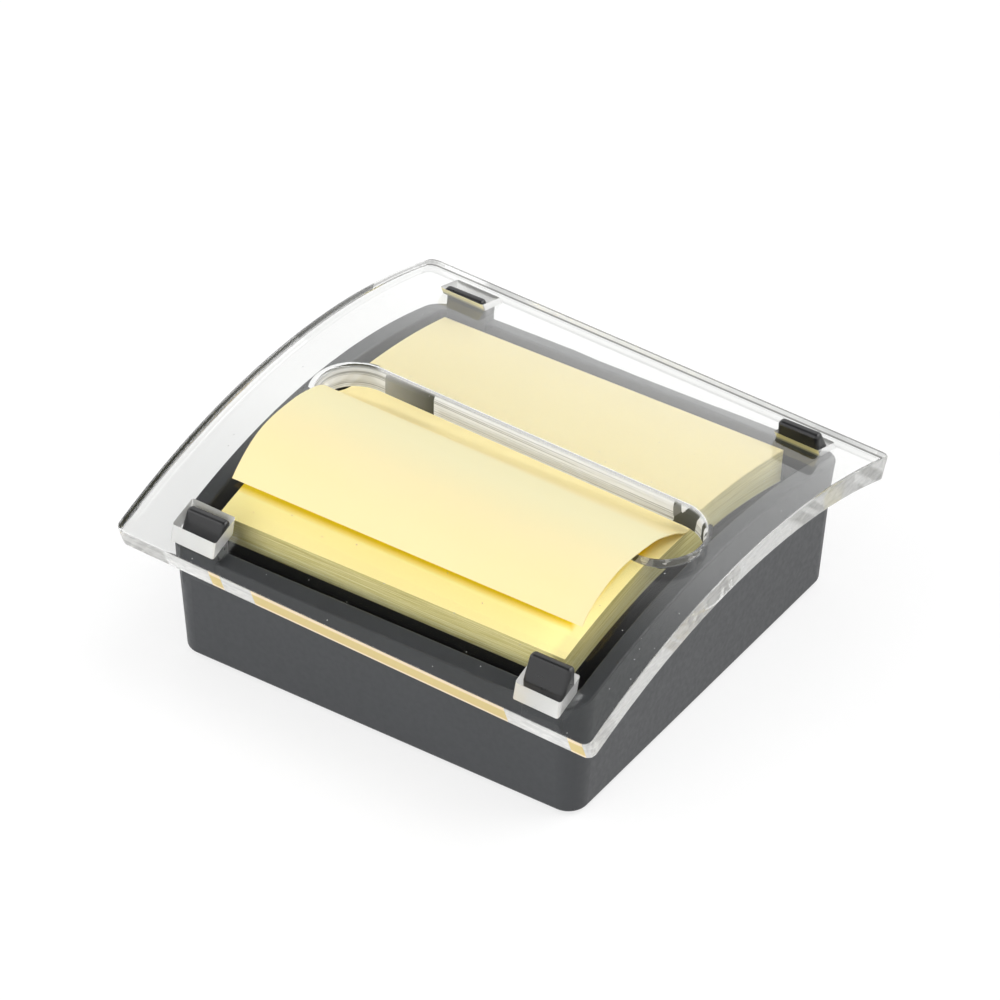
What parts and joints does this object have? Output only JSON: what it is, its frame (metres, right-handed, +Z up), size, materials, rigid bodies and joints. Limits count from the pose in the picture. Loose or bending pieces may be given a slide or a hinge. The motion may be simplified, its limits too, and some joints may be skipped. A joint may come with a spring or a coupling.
{
  "type": "sticky note dispenser",
  "caption": "A desk dispenser for sticky notes: a weighted black base with an arched clear lid, and the top note popped up through its slot",
  "frame": {"origin": "on the table, under the middle of the base", "axes": "+Z up, +X along the slot from left to right, -Y is the front that the popped note curls towards"},
  "size_m": [0.1044, 0.104, 0.0425],
  "materials": {
    "black_plastic": "satin moulded, fine grain",
    "black_cover": "moulded, fine grain",
    "plain_steel": "plain rolled plate",
    "clear_plastic": "clear cast plastic, polished edges",
    "yellow_paper": "cut edges in fine layers",
    "pale_yellow_paper": "smooth note paper",
    "screw_steel": "zinc plated",
    "black_rubber": "matte"
  },
  "bodies": {
    "root": {"base_shell": "black_plastic", "bottom_cover": "black_cover", "weight_plate": "plain_steel", "clear_lid": "clear_plastic", "note_pad": "yellow_paper", "popped_note": "pale_yellow_paper", "cover_screw_1": "screw_steel", "cover_screw_2": "screw_steel", "cover_screw_3": "screw_steel", "cover_screw_4": "screw_steel", "foot_1": "black_rubber", "foot_2": "black_rubber", "foot_3": "black_rubber", "foot_4": "black_rubber"}
  },
  "joints": []
}
